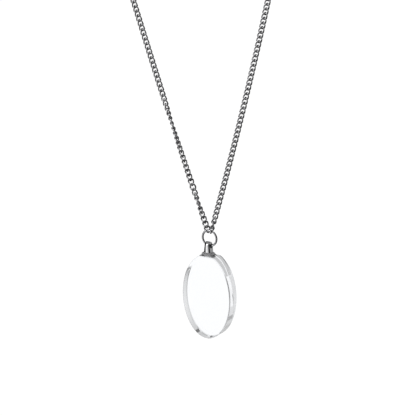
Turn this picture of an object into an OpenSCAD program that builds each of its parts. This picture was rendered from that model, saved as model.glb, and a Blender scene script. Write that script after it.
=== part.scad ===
// Oval crystal pendant on a fine chain, in the form that it has when it is worn.
// Millimetres. +Z is up, -Y is the front, and the origin is the nape of the neck.

/* [Crystal] */
// Height of the oval, before its top is ground flat
crystal_h = 30.5; // [26:0.5:38]
// Width of the oval
crystal_w = 19.2; // [16:0.1:24]
// Thickness of the crystal
crystal_t = 4.8; // [4.4:0.2:8]
// Width of the polished bevel round each face
bevel_w = 0.3; // [0.2:0.05:0.6]
// How much is ground off the top for the cap
top_cut = 0.75; // [0.7:0.05:1]

/* [Cap] */
// Width of the cap's plate, along the crystal's width
plate_w = 4.8; // [3.8:0.1:4.8]
// Depth of the plate, along the crystal's thickness
plate_d = 3; // [2.8:0.1:4.2]
// Thickness of the plate in the middle
plate_t = 0.9; // [0.7:0.05:1]
// How much thinner the plate is at its two ends
plate_droop = 0.2; // [0.15:0.05:0.4]
// How far the cap sits to the left of the crystal's middle
cap_side = 0.4; // [0:0.05:0.4]
// Height of the lug above the plate
lug_h = 3.9; // [3.8:0.1:4.8]
// Width of the lug at its foot
lug_foot_w = 2.7; // [2.2:0.1:2.8]
// Width of the lug at its top
lug_top_w = 1.8; // [1.4:0.1:1.8]
// Depth of the lug, from front to back
lug_d = 2.5; // [2.3:0.1:2.7]
// How much the lug's front and back bulge
lug_bulge = 0.3; // [0.2:0.05:0.4]
// Bore of the lug's eye
eye_bore = 1.7; // [1.7:0.05:1.8]
// Distance from the lug's top down to the middle of its eye
eye_drop = 1.4; // [1.3:0.1:1.5]

/* [Jump ring] */
// Outer diameter of the jump ring
ring_od = 6.2; // [6.2:0.1:8]
// Wire of the jump ring
ring_wire = 0.7; // [0.5:0.05:0.7]

/* [Chain] */
// Distance from one link to the next
link_pitch = 1.7; // [1.66:0.02:1.8]
// Wire of a link
link_wire = 0.44; // [0.36:0.02:0.5]
// Number of links on each side
side_links = 122; // [110:1:123]

/* [Loop] */
// Rise of the chain where it leaves the jump ring, in degrees
leg_climb = 64; // [60:1:68]
// Heading of each side there, in degrees outwards from straight back
leg_heading = 44; // [38:1:48]
// Turn inwards that is spread evenly over each side, in degrees
even_turn = 30; // [20:1:36]
// Turn of the pendant away from the front, in degrees
pendant_turn = 37; // [20:1:45]

/* [Clasp] */
// Length of the clasp's barrel
barrel_l = 7; // [6:0.5:10]
// Diameter of the barrel
barrel_d = 3; // [2.6:0.1:4]

/* [Hidden] */
$fn = 48;

// Gap of the glue line between the cap and the crystal
glue_gap = 0.1;
// Points on the oval's outline
oval_points = 144;
// Corners of the plate
plate_corner = 1.2;

// Links are round rings, turned a quarter turn from one to the next
link_play = 0.14;
link_r = (link_pitch + link_wire + link_play) / 2;

// The end links and the lug's eye hang on the jump ring
ring_r = (ring_od - ring_wire) / 2;
hook_gap = 0.15;
hook_side = 0.7;
hook_drop = link_r - (link_wire + ring_wire) / 2 - hook_gap;

// The clasp's eyes take the last link of each side
clasp_wire = 0.6;
clasp_eye_r = 0.9;
clasp_eye_x = barrel_l / 2 + clasp_eye_r;
nape_x = clasp_eye_x + clasp_eye_r + link_r - link_pitch / 2
         - (link_wire + clasp_wire) / 2 - hook_gap;

// Heights above the crystal's middle, on the pendant's own axis
flat_z = crystal_h / 2 - top_cut;
plate_z = flat_z + glue_gap;
lug_z = plate_z + plate_t;
eye_z = lug_z + lug_h - eye_drop;

// How evenly the rise eases off towards the nape
climb_power = 3;

// Each side's heading and rise, where t runs from 0 at the jump ring to 1 at the nape
function heading(t, power) = leg_heading - even_turn * t
    - (leg_heading + 90 - even_turn) * pow(t, power);
function climb(t) = leg_climb * (1 - pow(t, climb_power));
function course(t, power) = [
    cos(climb(t)) * sin(heading(t, power)),
    cos(climb(t)) * cos(heading(t, power)),
    sin(climb(t))
];
function middle(i) = (i + 0.5) / side_links;

// The turn's power is the one that brings each side's end to the clasp
function end_x(power) = link_pitch
    * [for (i = [0 : side_links - 1]) course(middle(i), power)[0]]
    * [for (i = [0 : side_links - 1]) 1];
function find_power(low, high, tries) = let (mid = (low + high) / 2)
    tries == 0 ? mid
    : end_x(mid) > nape_x ? find_power(low, mid, tries - 1)
    : find_power(mid, high, tries - 1);
turn_power = find_power(1.2, 12, 30);

// Joints between the links of the right side, from the jump ring to the clasp
raw_route = [for (i = 0, q = [0, 0, 0]; i <= side_links;
    q = q + link_pitch * course(middle(i), turn_power), i = i + 1) q];
nape = raw_route[side_links];
hang = [0, barrel_d / 2 - nape[1], -nape[2]];

// The eye's axis runs through the wire at the bottom of the jump ring
lead = (link_pitch / 2 - hook_drop) * course(0, turn_power);
hook_z = sqrt(ring_r * ring_r - hook_side * hook_side);
ring_mid = hang + [0, 0, lead[2] - hook_z];
eye = ring_mid - [0, 0, ring_r];
pendant_mid = eye - [0, 0, eye_z];

// Step that brings the end link to its seat on the jump ring
hook_step = hook_side * [cos(pendant_turn), -sin(pendant_turn), 0] - [lead[0], 0, 0];

// Position, axis and face of link i, where side is 1 on the right and -1 on the left
function unit(v) = v / norm(v);
function link_spot(i, side) = let (
    q = (raw_route[i] + raw_route[i + 1]) / 2,
    step = side * hook_step - [0, lead[1], 0])
    hang + [side * q[0], q[1], q[2]] + (1 - middle(i)) * step;
function link_axis(i, side) = let (c = course(middle(i), turn_power))
    [side * c[0], c[1], c[2]];
function link_face(i, side) = let (
    a = (leg_heading - heading(middle(i), turn_power)) * 180 / (leg_heading + 90),
    axis = link_axis(i, side),
    out = [side * sin(a), -cos(a), 0])
    unit(out - (out * axis) * axis);
function link_matrix(i, side) = let (
    p = link_spot(i, side),
    z = link_axis(i, side),
    y = -link_face(i, side),
    x = cross(y, z))
    [[x[0], y[0], z[0], p[0]], [x[1], y[1], z[1], p[1]], [x[2], y[2], z[2], p[2]]];
function link_turn(i) = i % 2 == 0 ? 45 : -45;

module at_link(i, side) {
    multmatrix(link_matrix(i, side)) children();
}

module at_pendant() {
    translate(pendant_mid) rotate([0, 0, -pendant_turn]) children();
}

// Ring of round wire, upright in the XZ plane
module wire_ring(radius, wire) {
    rotate([90, 0, 0]) rotate_extrude() translate([radius, 0]) circle(d = wire);
}

module chain(side) {
    for (i = [0 : side_links - 1])
        at_link(i, side) rotate([0, 0, link_turn(i)]) wire_ring(link_r, link_wire);
}

module oval(inset) {
    polygon([for (i = [0 : oval_points - 1]) let (a = i * 360 / oval_points)
        [(crystal_w / 2 - inset) * cos(a), (crystal_h / 2 - inset) * sin(a)]]);
}

module slab(inset, thickness) {
    rotate([90, 0, 0]) linear_extrude(height = thickness, center = true) oval(inset);
}

module crystal() {
    color("aliceblue") at_pendant() difference() {
        hull() {
            slab(0, crystal_t - 2 * bevel_w);
            slab(bevel_w, crystal_t);
        }
        translate([-crystal_w / 2, -crystal_t, flat_z])
            cube([crystal_w, 2 * crystal_t, crystal_h]);
    }
}

module plate_outline() {
    square([plate_w - 2 * plate_corner, plate_d], center = true);
    square([plate_w, plate_d - 2 * plate_corner], center = true);
    for (x = [-1, 1], y = [-1, 1])
        translate([x * (plate_w / 2 - plate_corner), y * (plate_d / 2 - plate_corner)])
            circle(r = plate_corner);
}

// Flat below, arched above
module plate() {
    half = plate_w / 2;
    arch_r = (half * half + plate_droop * plate_droop) / (2 * plate_droop);
    intersection() {
        translate([0, 0, plate_z]) linear_extrude(height = 2 * plate_t) plate_outline();
        translate([0, 0, lug_z - arch_r]) rotate([90, 0, 0])
            cylinder(h = 2 * plate_d, r = arch_r, center = true);
    }
}

// Flat at the sides, bulging at the front and back, with a round top
module lug() {
    foot = lug_z - plate_t / 2;
    rise = lug_h + plate_t / 2;
    half = lug_foot_w / 2;
    bulge_r = (half * half + lug_bulge * lug_bulge) / (2 * lug_bulge);
    intersection() {
        translate([0, bulge_r - lug_d / 2, foot]) cylinder(h = rise, r = bulge_r);
        translate([0, lug_d / 2 - bulge_r, foot]) cylinder(h = rise, r = bulge_r);
        rotate([90, 0, 0]) linear_extrude(height = 2 * lug_d, center = true) polygon([
            [-lug_foot_w / 2, foot], [lug_foot_w / 2, foot],
            [lug_top_w / 2, lug_z + lug_h], [-lug_top_w / 2, lug_z + lug_h]]);
        union() {
            translate([-lug_d, -lug_d, foot]) cube([2 * lug_d, 2 * lug_d, rise - lug_d / 2]);
            translate([0, 0, lug_z + lug_h - lug_d / 2]) rotate([0, 90, 0])
                cylinder(h = 2 * lug_d, d = lug_d, center = true);
        }
    }
}

module cap() {
    color("silver") at_pendant() translate([-cap_side, 0, 0]) difference() {
        union() {
            plate();
            lug();
        }
        translate([0, 0, eye_z]) rotate([0, 90, 0])
            cylinder(h = 2 * lug_foot_w, d = eye_bore, center = true);
    }
}

module jump_ring() {
    color("silver") translate(ring_mid) rotate([0, 0, -pendant_turn])
        wire_ring(ring_r, ring_wire);
}

module chain_left() {
    color("dimgray") chain(-1);
}

module chain_right() {
    color("dimgray") chain(1);
}

// Plain barrel, with an eye at each end that is turned as the next link would be
module clasp() {
    eye_from_link = nape_x + link_pitch / 2 - clasp_eye_x;
    color("silver") {
        translate([0, barrel_d / 2, 0]) rotate([0, 90, 0])
            cylinder(h = barrel_l, d = barrel_d, center = true);
        for (side = [-1, 1])
            at_link(side_links - 1, side) translate([0, 0, eye_from_link])
                rotate([0, 0, link_turn(side_links)]) wire_ring(clasp_eye_r, clasp_wire);
    }
}

crystal();
cap();
jump_ring();
chain_left();
chain_right();
clasp();
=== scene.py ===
import math
import bpy
from mathutils import Matrix, Vector


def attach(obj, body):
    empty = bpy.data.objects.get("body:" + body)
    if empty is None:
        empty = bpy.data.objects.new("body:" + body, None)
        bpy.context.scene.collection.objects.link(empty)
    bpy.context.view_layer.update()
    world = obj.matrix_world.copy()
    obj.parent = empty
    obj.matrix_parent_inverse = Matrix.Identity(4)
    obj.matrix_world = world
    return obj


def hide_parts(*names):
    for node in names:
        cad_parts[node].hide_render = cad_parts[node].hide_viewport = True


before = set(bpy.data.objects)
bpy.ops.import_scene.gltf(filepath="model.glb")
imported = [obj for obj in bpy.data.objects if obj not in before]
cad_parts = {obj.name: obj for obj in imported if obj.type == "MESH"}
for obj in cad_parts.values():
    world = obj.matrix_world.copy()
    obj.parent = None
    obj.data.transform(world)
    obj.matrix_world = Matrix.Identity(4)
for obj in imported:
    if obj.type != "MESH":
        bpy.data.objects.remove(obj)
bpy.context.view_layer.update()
print("frame loaded:", ", ".join(sorted(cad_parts)))

mm = 0.001  # every size below is in millimetres, as in the part's source


def hexColour(code):
    parts = [int(code[i:i + 2], 16) / 255 for i in (1, 3, 5)]
    linear = [p / 12.92 if p <= 0.04045 else ((p + 0.055) / 1.055) ** 2.4 for p in parts]
    return (*linear, 1)


def addNode(tree, kind, settings=None, links=None):
    node = tree.nodes.new(kind)
    for name, value in (settings or {}).items():
        if name in node.inputs:
            node.inputs[name].default_value = value
        else:
            setattr(node, name, value)
    for name, (source, output) in (links or {}).items():
        tree.links.new(source.outputs[output], node.inputs[name])
    return node


def newMaterial(name):
    material = bpy.data.materials.new(name)
    material.use_nodes = True
    material.node_tree.nodes.clear()
    return material, material.node_tree


def deselectAll():
    if bpy.context.object and bpy.context.object.mode != "OBJECT":
        bpy.ops.object.mode_set(mode="OBJECT")
    bpy.ops.object.select_all(action="DESELECT")


def makeActive(obj):
    deselectAll()
    obj.select_set(True)
    bpy.context.view_layer.objects.active = obj


def applyModifier(obj, kind, **settings):
    makeActive(obj)
    modifier = obj.modifiers.new(kind.title(), kind)
    for name, value in settings.items():
        setattr(modifier, name, value)
    bpy.ops.object.modifier_apply(modifier=modifier.name)


def selectOnly(obj, kind, test):
    # selects the vertices, edges or faces that pass the test, in edit mode
    makeActive(obj)
    bpy.ops.object.mode_set(mode="EDIT")
    bpy.ops.mesh.select_mode(type=kind)
    bpy.ops.mesh.select_all(action="DESELECT")
    bpy.ops.object.mode_set(mode="OBJECT")
    mesh = obj.data
    if kind == "VERT":
        for v in mesh.vertices:
            v.select = test(v.co)
    if kind == "EDGE":
        for e in mesh.edges:
            e.select = test(*[mesh.vertices[i].co for i in e.vertices])
    if kind == "FACE":
        for f in mesh.polygons:
            f.select = test(f.center, f.normal)
    bpy.ops.object.mode_set(mode="EDIT")


def settle(obj, matrix):
    # moves the mesh to its place and turns it to metres, with the object at the origin
    obj.data.transform(Matrix.Scale(mm, 4) @ matrix @ obj.matrix_world)
    obj.matrix_world = Matrix.Identity(4)


def finishPiece(obj, name, body, nodes, material, smoothAngle):
    obj.name = name
    obj.data.name = name
    makeActive(obj)
    bpy.ops.object.mode_set(mode="EDIT")
    bpy.ops.mesh.select_all(action="SELECT")
    bpy.ops.mesh.normals_make_consistent(inside=False)
    bpy.ops.object.mode_set(mode="OBJECT")
    bpy.ops.object.shade_smooth_by_angle(angle=math.radians(smoothAngle))
    obj.data.materials.clear()
    obj.data.materials.append(material)
    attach(obj, body)
    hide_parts(*nodes)
    print(name, "made,", len(obj.data.polygons), "faces")


# where things are, with the same numbers as the part's source
layout = {
    "linkPitch": 1.7,
    "linkCount": 122,      # on each side
    "legClimb": 64,        # rise of the chain at the ring, in degrees
    "legHeading": 44,      # and its heading there, outwards from straight back
    "evenTurn": 30,        # turn inwards that is spread evenly over each side
    "climbPower": 3,       # how evenly the rise eases off
    "turnPower": 4.62211,  # the one that brings each side's end to the clasp
    "pendantTurn": 37,     # turn of the pendant away from the front
    "hang": Vector((0, -103.597, -147.345)),
    "lead": 0.43,          # from the first link's lower joint to the ring's wire
    "hookSide": 0.7,       # how far to either side of the ring's top the chain hooks on
    "ringMid": Vector((0, -103.597, -149.618)),
    "pendantMid": Vector((0, -103.597, -170.368)),
}

pendantFrame = (Matrix.Translation(layout["pendantMid"])
                @ Matrix.Rotation(math.radians(-layout["pendantTurn"]), 4, "Z"))
ringFrame = (Matrix.Translation(layout["ringMid"])
             @ Matrix.Rotation(math.radians(-layout["pendantTurn"]), 4, "Z"))


# camera, at the photograph's angle
view = {
    "heading": 5.6,      # degrees the camera looks to the right of straight back
    "down": 17.4,        # degrees it looks down, at the middle of the picture
    "distance": 640,     # to the crystal
    "pixel": 0.3457,     # millimetres to a pixel at the crystal
    "across": 209.6,     # where the crystal's middle is in the picture, in pixels
    "below": 295.0,
    "half": 208,         # half of the picture's width
    "sensor": 36,        # the camera's, in millimetres
}


def makeCamera():
    heading, down = math.radians(view["heading"]), math.radians(view["down"])
    forward = Vector((math.sin(heading) * math.cos(down),
                      math.cos(heading) * math.cos(down), -math.sin(down)))
    right = Vector((math.cos(heading), -math.sin(heading), 0))
    up = right.cross(forward)
    aside = (view["across"] - view["half"]) * view["pixel"]
    under = (view["below"] - view["half"]) * view["pixel"]
    place = layout["pendantMid"] - forward * view["distance"] - right * aside + up * under
    data = bpy.data.cameras.new("photo camera")
    data.sensor_width = view["sensor"]
    data.lens = view["sensor"] * view["distance"] / (2 * view["half"] * view["pixel"])
    data.clip_start, data.clip_end = 0.01, 50
    camera = bpy.data.objects.new("photo camera", data)
    bpy.context.scene.collection.objects.link(camera)
    turn = Matrix((right, up, -forward)).transposed().to_4x4()
    camera.matrix_world = Matrix.Translation(place * mm) @ turn
    bpy.context.scene.camera = camera


makeCamera()


crystal = {
    "height": 30.5,        # of the whole oval, before its top is ground flat
    "width": 19.2,
    "thick": 4.8,
    "bevel": 0.3,
    "flat": 14.5,          # the ground top, above the oval's middle
    "sides": 720,          # so many that the rim shows no facets
    "colour": "#F6F7F9",
    "wipe": 5.55,          # millimetres from one wiping mark to the next
    "upright": 0.35,       # their scale upwards, so that they are longer than they are wide
    "haze": 0.03,          # roughness in the middle of a mark
}


def opticalGlass():
    # Optical glass, ground and polished: clear, with a breath of blue, and so clean that only
    # faint wiping marks break its gloss
    material, tree = newMaterial("optical glass, ground and polished")
    place = addNode(tree, "ShaderNodeTexCoord")
    wipe = addNode(tree, "ShaderNodeMapping", {"Scale": (1, 1, crystal["upright"])},
                   {"Vector": (place, "Object")})
    marks = addNode(tree, "ShaderNodeTexNoise", {"Scale": 1 / (crystal["wipe"] * mm), "Detail": 3},
                    {"Vector": (wipe, "Vector")})
    gloss = addNode(tree, "ShaderNodeMapRange", {
        "From Min": 0.35, "From Max": 0.75, "To Min": 0.0, "To Max": crystal["haze"]},
        {"Value": (marks, "Fac")})
    shader = addNode(tree, "ShaderNodeBsdfPrincipled", {
        "Base Color": hexColour(crystal["colour"]), "IOR": 1.52, "Transmission Weight": 1.0},
        {"Roughness": (gloss, "Result")})
    addNode(tree, "ShaderNodeOutputMaterial", None, {"Surface": (shader, "BSDF")})
    return material


def makeCrystal():
    deselectAll()
    bpy.ops.mesh.primitive_cylinder_add(
        vertices=crystal["sides"], radius=1, depth=crystal["thick"], end_fill_type="NGON",
        rotation=(math.pi / 2, 0, 0))
    obj = bpy.context.object
    bpy.ops.object.transform_apply(rotation=True)
    obj.scale = (crystal["width"] / 2, 1, crystal["height"] / 2)
    bpy.ops.object.transform_apply(scale=True)
    # the top is ground flat for the cap
    makeActive(obj)
    bpy.ops.object.mode_set(mode="EDIT")
    bpy.ops.mesh.select_all(action="SELECT")
    bpy.ops.mesh.bisect(plane_co=(0, 0, crystal["flat"]), plane_no=(0, 0, 1),
                        clear_outer=True, use_fill=True)
    bpy.ops.object.mode_set(mode="OBJECT")
    # narrow polished bevels round both faces
    face = crystal["thick"] / 2 - 0.01
    selectOnly(obj, "EDGE", lambda a, b: abs(a.y) > face and abs(b.y) > face and a.y * b.y > 0)
    bpy.ops.mesh.bevel(offset=crystal["bevel"], segments=1, affect="EDGES")
    bpy.ops.object.mode_set(mode="OBJECT")
    settle(obj, pendantFrame)
    finishPiece(obj, "crystal_slab", "pendant", ["crystal"], opticalGlass(), 20)


makeCrystal()


# what the cap, the ring, the links and the clasp have in common
steel = {
    "slant": "#3A3A3A",    # tint of what it throws back where it is seen at a slant
    # millimetres from dent to dent: the tumbling drum leaves them about 0.1 mm apart, too fine to show
    "dents": 0.4,
}


# a plate glued to the crystal and a drilled lug, soldered together
cap = {
    "side": -0.4,          # from the crystal's middle
    "glue": 0.1,
    "plateWidth": 4.8,
    "plateDepth": 3.0,
    "plateThick": 0.9,
    "plateCorner": 1.2,
    "droop": 0.2,          # how much thinner the plate is at its two ends
    "edge": 0.3,           # rounding of the plate's upper edge
    "lugHeight": 3.9,
    "lugFoot": 2.7,        # width of the lug at its foot, and at its top
    "lugTop": 1.8,
    "lugDepth": 2.5,
    "lugSunk": 0.2,        # how far the lug goes into the plate
    "bulge": 0.3,
    "bore": 1.7,
    "eyeDrop": 1.4,        # from the lug's top down to the middle of its eye
    "rounding": 0.06,      # of the edges that the polishing wheel has taken off
    "light": "#C3C3C4",
    "dark": "#A9A9AA",
    # the real satin grain is about 0.03 mm, too fine to show, so it is drawn at this size
    "grain": 0.25,
    "polishFrom": 0.25,    # how far above the plate the polish begins
    "satin": 0.8,          # roughness of the plate, and of the polished lug
    "polish": 0.1,
    "plateShade": 0.95,          # painted shade: the plate's colour is darkened to this, where the lug's is 1
    "plateSlices": 12,     # parts that the plate and the lug are cut into before they are bent to shape
    "lugSlices": 8,
}


def capSteel():
    # Stainless steel, cast, its plate left satin and its lug polished: an even grey below, its colour made a
    # little darker there as painted shade, and on
    #  the lug sharp bright and dark stripes from what stands round it
    material, tree = newMaterial("stainless steel, satin plate and polished lug")
    place = addNode(tree, "ShaderNodeTexCoord")
    grain = addNode(tree, "ShaderNodeTexNoise", {"Scale": 1 / (cap["grain"] * mm), "Detail": 4},
                    {"Vector": (place, "Object")})
    tone = addNode(tree, "ShaderNodeValToRGB", None, {"Fac": (grain, "Fac")})
    tone.color_ramp.elements[0].position, tone.color_ramp.elements[1].position = 0.3, 0.7
    tone.color_ramp.elements[0].color = hexColour(cap["dark"])
    tone.color_ramp.elements[1].color = hexColour(cap["light"])
    axes = addNode(tree, "ShaderNodeSeparateXYZ", None, {"Vector": (place, "Object")})
    polishHeight = crystal["flat"] + cap["glue"] + cap["plateThick"] + cap["polishFrom"]
    foot = (layout["pendantMid"].z + polishHeight) * mm
    onLug = addNode(tree, "ShaderNodeMapRange", {"From Min": foot - 0.1 * mm, "From Max": foot + 0.1 * mm},
                    {"Value": (axes, "Z")})
    gloss = addNode(tree, "ShaderNodeMapRange", {"To Min": cap["satin"], "To Max": cap["polish"]},
                    {"Value": (onLug, "Result")})
    # painted shade: below the lug's foot the plate's colour is made darker than the lug's
    plateShade = addNode(tree, "ShaderNodeMapRange", {"To Min": cap["plateShade"], "To Max": 1},
                   {"Value": (onLug, "Result")})
    colour = addNode(tree, "ShaderNodeHueSaturation", None,
                     {"Value": (plateShade, "Result"), "Color": (tone, "Color")})
    dents = addNode(tree, "ShaderNodeBump", {"Strength": 0.15, "Distance": 0.02 * mm},
                    {"Height": (grain, "Fac")})
    shader = addNode(tree, "ShaderNodeBsdfPrincipled", {
        "Metallic": 1.0, "Specular Tint": hexColour(steel["slant"])}, {
        "Base Color": (colour, "Color"), "Roughness": (gloss, "Result"), "Normal": (dents, "Normal")})
    addNode(tree, "ShaderNodeOutputMaterial", None, {"Surface": (shader, "BSDF")})
    return material


def makeCap():
    plateLow = crystal["flat"] + cap["glue"]
    lugLow = plateLow + cap["plateThick"]
    lugHigh = lugLow + cap["lugHeight"]
    # plate, arched above
    deselectAll()
    bpy.ops.mesh.primitive_cube_add(size=1, location=(0, 0, plateLow + cap["plateThick"] / 2))
    plate = bpy.context.object
    plate.scale = (cap["plateWidth"], cap["plateDepth"], cap["plateThick"])
    bpy.ops.object.transform_apply(location=True, scale=True)
    selectOnly(plate, "EDGE", lambda a, b: abs(a.z - b.z) > 0.1)
    bpy.ops.mesh.bevel(offset=cap["plateCorner"], segments=8, affect="EDGES")
    bpy.ops.object.mode_set(mode="OBJECT")
    selectOnly(plate, "FACE", lambda c, n: n.z > 0.8)
    bpy.ops.mesh.bevel(offset=cap["edge"], segments=5, affect="EDGES")
    half = cap["plateWidth"] / 2
    for n in range(1, cap["plateSlices"]):
        bpy.ops.mesh.select_all(action="SELECT")
        bpy.ops.mesh.bisect(plane_co=(-half + n * cap["plateWidth"] / cap["plateSlices"], 0, 0),
                            plane_no=(1, 0, 0))
    bpy.ops.object.mode_set(mode="OBJECT")
    for v in plate.data.vertices:
        if v.co.z > plateLow + cap["plateThick"] / 2:
            v.co.z -= cap["droop"] * (v.co.x / half) ** 2
    # lug: a tapered bar, round at the top, bulging at the front and back
    deselectAll()
    lugLength = cap["lugHeight"] + cap["lugSunk"]
    bpy.ops.mesh.primitive_cube_add(size=1, location=(0, 0, lugHigh - lugLength / 2))
    lug = bpy.context.object
    lug.scale = (cap["lugFoot"], cap["lugDepth"], lugLength)
    bpy.ops.object.transform_apply(location=True, scale=True)
    selectOnly(lug, "EDGE", lambda a, b: min(a.z, b.z) > lugHigh - 0.1 and a.y * b.y > 0)
    bpy.ops.mesh.bevel(offset=cap["lugDepth"] / 2 - 0.02, segments=10, affect="EDGES")
    for n in range(1, cap["lugSlices"]):
        bpy.ops.mesh.select_all(action="SELECT")
        bpy.ops.mesh.bisect(plane_co=(-cap["lugFoot"] / 2 + n * cap["lugFoot"] / cap["lugSlices"], 0, 0),
                            plane_no=(1, 0, 0))
    bpy.ops.object.mode_set(mode="OBJECT")
    for v in lug.data.vertices:
        out = v.co.x / (cap["lugFoot"] / 2)
        rise = (v.co.z - lugLow) / cap["lugHeight"]
        v.co.y *= 1 - cap["bulge"] / (cap["lugDepth"] / 2) * out * out
        v.co.x *= 1 - (1 - cap["lugTop"] / cap["lugFoot"]) * rise
    # the eye is drilled, and the lug is soldered to the plate
    deselectAll()
    bpy.ops.mesh.primitive_cylinder_add(vertices=48, radius=cap["bore"] / 2, depth=2 * cap["lugFoot"],
                                        location=(0, 0, lugHigh - cap["eyeDrop"]),
                                        rotation=(0, math.pi / 2, 0))
    drill = bpy.context.object
    applyModifier(lug, "BOOLEAN", operation="DIFFERENCE", solver="EXACT", object=drill)
    bpy.data.objects.remove(drill)
    applyModifier(plate, "BOOLEAN", operation="UNION", solver="EXACT", object=lug)
    bpy.data.objects.remove(lug)
    applyModifier(plate, "BEVEL", width=cap["rounding"], segments=2, limit_method="ANGLE",
                  angle_limit=math.radians(40), use_clamp_overlap=True)
    settle(plate, pendantFrame @ Matrix.Translation((cap["side"], 0, 0)))
    finishPiece(plate, "cap_with_lug", "pendant", ["cap"], capSteel(), 35)


makeCap()


ring = {
    "outer": 6.2,          # its outer diameter
    "wire": 0.7,
    "dark": "#98989A",
    "light": "#B0B0B2",
    "gloss": (0.08, 0.16),  # least and most roughness
}


def wireSteel(name, piece):
    # Stainless steel wire, tumble-polished: dark grey and mirror-like, a little uneven from the drum
    material, tree = newMaterial(name)
    place = addNode(tree, "ShaderNodeTexCoord")
    drum = addNode(tree, "ShaderNodeTexNoise", {"Scale": 1 / (steel["dents"] * mm), "Detail": 3},
                   {"Vector": (place, "Object")})
    tone = addNode(tree, "ShaderNodeValToRGB", None, {"Fac": (drum, "Fac")})
    tone.color_ramp.elements[0].position, tone.color_ramp.elements[1].position = 0.35, 0.65
    tone.color_ramp.elements[0].color = hexColour(piece["dark"])
    tone.color_ramp.elements[1].color = hexColour(piece["light"])
    gloss = addNode(tree, "ShaderNodeMapRange", {"To Min": piece["gloss"][0], "To Max": piece["gloss"][1]},
                    {"Value": (drum, "Fac")})
    shader = addNode(tree, "ShaderNodeBsdfPrincipled", {
        "Metallic": 1.0, "Specular Tint": hexColour(steel["slant"])}, {
        "Base Color": (tone, "Color"), "Roughness": (gloss, "Result")})
    addNode(tree, "ShaderNodeOutputMaterial", None, {"Surface": (shader, "BSDF")})
    return material


ringMaterial = wireSteel("stainless steel wire, polished", ring)


def makeRing():
    deselectAll()
    bpy.ops.mesh.primitive_torus_add(major_segments=96, minor_segments=20,
                                     major_radius=(ring["outer"] - ring["wire"]) / 2,
                                     minor_radius=ring["wire"] / 2, rotation=(math.pi / 2, 0, 0))
    obj = bpy.context.object
    settle(obj, ringFrame)
    finishPiece(obj, "jump_ring_wire", "necklace", ["jump_ring"], ringMaterial, 60)


makeRing()


# curb links, each twisted so that it lies flat on the next
link = {
    "radius": 0.905,
    "straight": 0.293,     # half of the straight part between a link's two round ends
    "wire": 0.568,
    "twist": 99,           # degrees from one end of a link to the other
    "face": -52,           # turn of a link's middle where the tables below would say 0
    "around": 14,          # faces round a link, and round its wire
    "across": 6,
    "dark": "#929294",
    "light": "#AAAAAC",
    "gloss": (0.12, 0.24),
    # how far each side is turned about its own length: millimetres from the ring, and degrees
    "rightTurns": [(0.85, 102), (2.55, 137), (4.25, 167), (5.95, 180)],
    "leftTurns": [
        (0.85, 72), (2.55, 78), (4.25, 87), (6.7, 104), (8.5, 122), (10.3, 144), (12.2, 168), (14, 190),
        (15.1, 207), (16.5, 240), (18, 266), (20.2, 277), (24.2, 284), (29.6, 294), (33.2, 306),
        (37.6, 322), (41.2, 340), (44.2, 360), (47.1, 376), (50, 386), (55.1, 392), (62.3, 395)],
}
chainMaterial = wireSteel("stainless steel links, tumble polished", link)


def turnAt(table, at):
    # the turn at a place on the chain, even between the rows of its table
    if at <= table[0][0]:
        return table[0][1]
    for (a, x), (b, y) in zip(table, table[1:]):
        if at < b:
            return x + (y - x) * (at - a) / (b - a)
    return table[-1][1]


def headingAt(t):
    return (layout["legHeading"] - layout["evenTurn"] * t
            - (layout["legHeading"] + 90 - layout["evenTurn"]) * t ** layout["turnPower"])


def courseAt(t):
    climb = math.radians(layout["legClimb"] * (1 - t ** layout["climbPower"]))
    heading = math.radians(headingAt(t))
    return Vector((math.cos(climb) * math.sin(heading), math.cos(climb) * math.cos(heading), math.sin(climb)))


def linkFrames(side):
    # the place of every link on one side, from the jump ring to the clasp
    count, pitch = layout["linkCount"], layout["linkPitch"]
    lead = layout["lead"] * courseAt(0)
    turn = math.radians(layout["pendantTurn"])
    hook = layout["hookSide"] * Vector((math.cos(turn), -math.sin(turn), 0)) - Vector((lead.x, 0, 0))
    step = side * hook - Vector((0, lead.y, 0))
    joint = Vector((0, 0, 0))
    frames = []
    for i in range(count):
        t = (i + 0.5) / count
        course = courseAt(t)
        q = joint + course * pitch / 2
        joint = joint + course * pitch
        place = layout["hang"] + Vector((side * q.x, q.y, q.z)) + (1 - t) * step
        axis = Vector((side * course.x, course.y, course.z))
        a = math.radians((layout["legHeading"] - headingAt(t)) * 180 / (layout["legHeading"] + 90))
        out = Vector((side * math.sin(a), -math.cos(a), 0))
        back = -(out - out.dot(axis) * axis).normalized()
        frames.append((Matrix.Translation(place)
                       @ Matrix((back.cross(axis), back, axis)).transposed().to_4x4()))
    return frames


def modelLink():
    deselectAll()
    bpy.ops.mesh.primitive_torus_add(major_segments=link["around"], minor_segments=link["across"],
                                     major_radius=link["radius"], minor_radius=link["wire"] / 2,
                                     rotation=(math.pi / 2, 0, 0))
    obj = bpy.context.object
    bpy.ops.object.transform_apply(rotation=True)
    for way in (1, -1):
        selectOnly(obj, "VERT", lambda co: co.z * way > 0.01)
        bpy.ops.transform.translate(value=(0, 0, way * link["straight"]))
        bpy.ops.object.mode_set(mode="OBJECT")
    applyModifier(obj, "SIMPLE_DEFORM", deform_method="TWIST", deform_axis="Z",
                  angle=-math.radians(link["twist"]))
    return obj


def makeChain(side, turns, name, node):
    model = modelLink()
    parts = []
    for i, place in enumerate(linkFrames(side)):
        turn = link["face"] + turnAt(turns, (i + 0.5) * layout["linkPitch"])
        copy = model.copy()
        copy.data = model.data.copy()
        bpy.context.scene.collection.objects.link(copy)
        settle(copy, place @ Matrix.Rotation(math.radians(turn), 4, "Z"))
        parts.append(copy)
    bpy.data.objects.remove(model)
    deselectAll()
    for part in parts:
        part.select_set(True)
    bpy.context.view_layer.objects.active = parts[0]
    bpy.ops.object.join()
    finishPiece(parts[0], name, "necklace", [node], chainMaterial, 80)


makeChain(-1, link["leftTurns"], "curb_chain_left", "chain_left")
makeChain(1, link["rightTurns"], "curb_chain_right", "chain_right")


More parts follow.
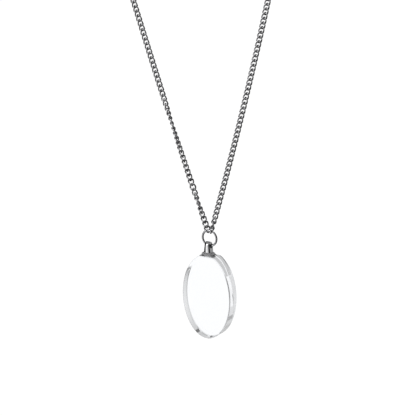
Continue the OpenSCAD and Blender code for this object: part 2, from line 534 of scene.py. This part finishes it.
# a plain barrel with an eye at each end, out of sight at the nape
clasp = {
    "length": 7,
    "barrel": 3,           # its diameter
    "rim": 0.35,           # rounding of its two ends
    "wire": 0.6,
    "eyeRadius": 0.9,
    "fromLink": 1.37,      # from the last link's middle to the middle of the eye
}


def makeClasp():
    deselectAll()
    bpy.ops.mesh.primitive_cylinder_add(vertices=64, radius=clasp["barrel"] / 2, depth=clasp["length"],
                                        rotation=(0, math.pi / 2, 0), location=(0, clasp["barrel"] / 2, 0))
    barrel = bpy.context.object
    bpy.ops.object.transform_apply(location=True, rotation=True)
    end = clasp["length"] / 2 - 0.01
    selectOnly(barrel, "EDGE", lambda a, b: abs(a.x) > end and abs(b.x) > end and a.x * b.x > 0)
    bpy.ops.mesh.bevel(offset=clasp["rim"], segments=4, affect="EDGES")
    bpy.ops.object.mode_set(mode="OBJECT")
    settle(barrel, Matrix.Identity(4))
    # each eye is turned as the next link of the source would be
    eyes = []
    for side in (-1, 1):
        deselectAll()
        bpy.ops.mesh.primitive_torus_add(major_segments=48, minor_segments=14,
                                         major_radius=clasp["eyeRadius"], minor_radius=clasp["wire"] / 2,
                                         rotation=(math.pi / 2, 0, 0))
        eye = bpy.context.object
        last = linkFrames(side)[-1]
        turn = 45 if layout["linkCount"] % 2 == 0 else -45
        settle(eye, last @ Matrix.Translation((0, 0, clasp["fromLink"]))
               @ Matrix.Rotation(math.radians(turn), 4, "Z"))
        eyes.append(eye)
    deselectAll()
    for part in [barrel, *eyes]:
        part.select_set(True)
    bpy.context.view_layer.objects.active = barrel
    bpy.ops.object.join()
    finishPiece(barrel, "barrel_clasp", "necklace", ["clasp"], ringMaterial, 35)


makeClasp()


studio = {
    "floor": -520,          # height of the table, in millimetres
    "across": 14,           # the table's width, in metres
    "table": "#2A2A2A",     # its own grey, which hardly shows beside its glow
    "widen": 0.225,         # how much wider its bright middle gets towards the back
    # what the crystal shows of the table: metres out from the bright middle's centre line, and the light
    "glow": [(0.235, 1.0), (0.265, 0.25), (0.295, 0.22), (0.33, 0.42), (0.39, 0.5), (0.475, 0.64),
             (0.9, 0.72)],
    "far": [(0, 1), (3, 1), (4, 0.75), (14, 0.75)],  # metres back, and what is left of that light there
    # in front of the pendant a lane is evenly white: metres back, metres to either side, and what is
    # left of the pattern there
    "front": [(-0.9, 0), (-0.65, 1)],
    "lane": [(0.6, 0), (0.9, 1)],
    "card": (-0.11, -1.12, 0.07, 0.4, 0.62),  # but for a grey card: its middle, its radii and its light
    "plain": [(0.235, 1.0), (0.9, 0.8)],  # what the camera sees of the table, measured as the glow is
    # height on the white tent round the pendant (its sine), and the light there
    "tent": [(-0.5, 0.78), (0.1, 0.78), (0.45, 0.62), (0.62, 0.55), (0.8, 0.3)],
    # what the metal mirrors round about: degrees to the right of straight back, and the light there
    "mirror": [(-180, 0.03), (-158, 0.03), (-150, 0.12), (-140, 0.6), (-126, 1.5), (-119, 1.85),
               (-104, 1.85), (-93, 0.55), (-85, 0.03), (-12, 0.03), (4, 0.6), (40, 0.75), (72, 0.85),
               (90, 0.4), (105, 0.03), (180, 0.03)],
    # where the mirrored ceiling takes over from the screens (sine of the height), and its light
    "ceiling": [(-1, 0), (0.55, 0), (0.8, 1), (1, 1)],
    "overhead": 0.5,
    # dark cards that only the glass shows: heading, height and radius in degrees, and light
    "darkCards": [(52.5, 34.3, 6, 0.1), (0, 10, 5.5, 0.36), (180, 4, 5, 0.4)],
    "softboxes": [          # name, place from the pendant and size in metres, watts
        ("softbox_left", (-0.75, -0.3, 0.3), 0.3, 1.5),
        ("softbox_above", (0.25, 0.2, 0.8), 0.4, 2),
    ],
}


def lightAlong(tree, stops, source, output):
    # the light along a measure: each stop is the measure and the light there
    low, high = stops[0][0], stops[-1][0]
    span = addNode(tree, "ShaderNodeMapRange", {"From Min": low, "From Max": high},
                   {"Value": (source, output)})
    ramp = addNode(tree, "ShaderNodeValToRGB", None, {"Fac": (span, "Result")})
    elements = ramp.color_ramp.elements
    while len(elements) < len(stops):
        elements.new(0.5)
    for element, (at, value) in zip(elements, stops):
        element.position = (at - low) / (high - low)
        element.color = (value, value, value, 1)
    return ramp


def hangDarkCard(tree, place, tent, heading, height, radius, light):
    # a dark card in the tent, which shows through the glass alone
    a, b = math.radians(heading), math.radians(height)
    toward = (math.sin(a) * math.cos(b), math.cos(a) * math.cos(b), math.sin(b))
    near = addNode(tree, "ShaderNodeVectorMath", {"operation": "DOT_PRODUCT"})
    tree.links.new(place.outputs["Generated"], near.inputs[0])
    near.inputs[1].default_value = toward
    inside = addNode(tree, "ShaderNodeMapRange", {
        "From Min": math.cos(math.radians(radius)), "From Max": math.cos(math.radians(radius / 2))},
        {"Value": (near, "Value")})
    path = addNode(tree, "ShaderNodeLightPath")
    seen = addNode(tree, "ShaderNodeMath", {"operation": "MULTIPLY"}, {"Value": (inside, "Result")})
    tree.links.new(path.outputs["Is Transmission Ray"], seen.inputs[1])
    return addNode(tree, "ShaderNodeMixRGB", {"Color2": (light, light, light, 1)}, {
        "Fac": (seen, "Value"), "Color1": (tent, "Color")})


def setScreens(tree, axes, behind, ceiling=None):
    # polished metal mirrors dark screens beside a bright one, and the glass shows what is behind them
    turn = addNode(tree, "ShaderNodeMath", {"operation": "ARCTAN2"})
    tree.links.new(axes.outputs["X"], turn.inputs[0])
    tree.links.new(axes.outputs["Y"], turn.inputs[1])
    degrees = addNode(tree, "ShaderNodeMath", {"operation": "DEGREES"}, {"Value": (turn, "Value")})
    mirror = lightAlong(tree, studio["mirror"], degrees, "Value")
    if ceiling:
        mirror = addNode(tree, "ShaderNodeMixRGB", {"Color2": (*[studio["overhead"]] * 3, 1)}, {
            "Fac": (ceiling, "Color"), "Color1": (mirror, "Color")})
    light = addNode(tree, "ShaderNodeLightPath")
    return addNode(tree, "ShaderNodeMixRGB", None, {
        "Fac": (light, "Is Reflection Ray"), "Color1": (behind, "Color"), "Color2": (mirror, "Color")})


def makeTable():
    # a table top of opal acrylic, lit from below, so that nothing casts a shadow on it
    deselectAll()
    bpy.ops.mesh.primitive_plane_add(size=studio["across"], location=(0, 0, studio["floor"] * mm))
    table = bpy.context.object
    table.name = "light_table"
    material, tree = newMaterial("opal acrylic, lit from below")
    place = addNode(tree, "ShaderNodeTexCoord")
    axes = addNode(tree, "ShaderNodeSeparateXYZ", None, {"Vector": (place, "Object")})
    aside = addNode(tree, "ShaderNodeMath", {"operation": "ABSOLUTE"}, {"Value": (axes, "X")})
    out = addNode(tree, "ShaderNodeMath", {"operation": "MULTIPLY_ADD"}, {"Value": (axes, "Y")})
    out.inputs[1].default_value = -studio["widen"]
    tree.links.new(aside.outputs["Value"], out.inputs[2])
    near = lightAlong(tree, studio["glow"], out, "Value")
    far = lightAlong(tree, studio["far"], axes, "Y")
    glow = addNode(tree, "ShaderNodeMixRGB", {"blend_type": "MULTIPLY", "Fac": 1}, {
        "Color1": (near, "Color"), "Color2": (far, "Color")})
    front = lightAlong(tree, studio["front"], axes, "Y")
    lane = lightAlong(tree, studio["lane"], aside, "Value")
    patterned = addNode(tree, "ShaderNodeMath", {"operation": "MAXIMUM"}, {"Value": (front, "Color")})
    tree.links.new(lane.outputs["Color"], patterned.inputs[1])
    lit = addNode(tree, "ShaderNodeMixRGB", {"Color1": (1, 1, 1, 1)}, {
        "Fac": (patterned, "Value"), "Color2": (glow, "Color")})
    x, y, across, along, light = studio["card"]
    onCard = addNode(tree, "ShaderNodeMapping", {
        "vector_type": "TEXTURE", "Location": (x, y, 0), "Scale": (across, along, 1)},
        {"Vector": (place, "Object")})
    reach = addNode(tree, "ShaderNodeVectorMath", {"operation": "LENGTH"}, {"Vector": (onCard, "Vector")})
    inside = addNode(tree, "ShaderNodeMapRange", {"From Min": 1, "From Max": 0.8},
                     {"Value": (reach, "Value")})
    lit = addNode(tree, "ShaderNodeMixRGB", {"Color2": (light, light, light, 1)}, {
        "Fac": (inside, "Result"), "Color1": (lit, "Color")})
    lit = setScreens(tree, axes, lit)
    # the camera sees the table plain
    plain = lightAlong(tree, studio["plain"], out, "Value")
    path = addNode(tree, "ShaderNodeLightPath")
    shown = addNode(tree, "ShaderNodeMixRGB", None, {
        "Fac": (path, "Is Camera Ray"), "Color1": (lit, "Color"), "Color2": (plain, "Color")})
    shader = addNode(tree, "ShaderNodeBsdfPrincipled", {
        "Base Color": hexColour(studio["table"]), "Roughness": 0.8, "Emission Strength": 1},
        {"Emission Color": (shown, "Color")})
    addNode(tree, "ShaderNodeOutputMaterial", None, {"Surface": (shader, "BSDF")})
    table.data.materials.append(material)


def makeLight():
    world = bpy.data.worlds.new("white tent")
    bpy.context.scene.world = world
    world.use_nodes = True
    tree = world.node_tree
    tree.nodes.clear()
    place = addNode(tree, "ShaderNodeTexCoord")
    axes = addNode(tree, "ShaderNodeSeparateXYZ", None, {"Vector": (place, "Generated")})
    tent = lightAlong(tree, studio["tent"], axes, "Z")
    for card in studio["darkCards"]:
        tent = hangDarkCard(tree, place, tent, *card)
    tent = setScreens(tree, axes, tent, lightAlong(tree, studio["ceiling"], axes, "Z"))
    glow = addNode(tree, "ShaderNodeBackground", {"Strength": 1}, {"Color": (tent, "Color")})
    addNode(tree, "ShaderNodeOutputWorld", None, {"Surface": (glow, "Background")})

    target = layout["pendantMid"] * mm
    for name, place, size, power in studio["softboxes"]:
        data = bpy.data.lights.new(name, "AREA")
        data.size, data.energy = size, power
        lamp = bpy.data.objects.new(name, data)
        lamp.visible_transmission = False  # no lamp shows through the glass
        bpy.context.scene.collection.objects.link(lamp)
        lamp.location = target + Vector(place)
        lamp.rotation_mode = "QUATERNION"
        lamp.rotation_quaternion = (target - lamp.location).to_track_quat("-Z", "Y")


makeTable()
makeLight()
bpy.context.scene.view_settings.view_transform = "Standard"
bpy.context.scene.cycles.glossy_bounces = 12  # light runs round inside the crystal before it comes out
print("studio made")
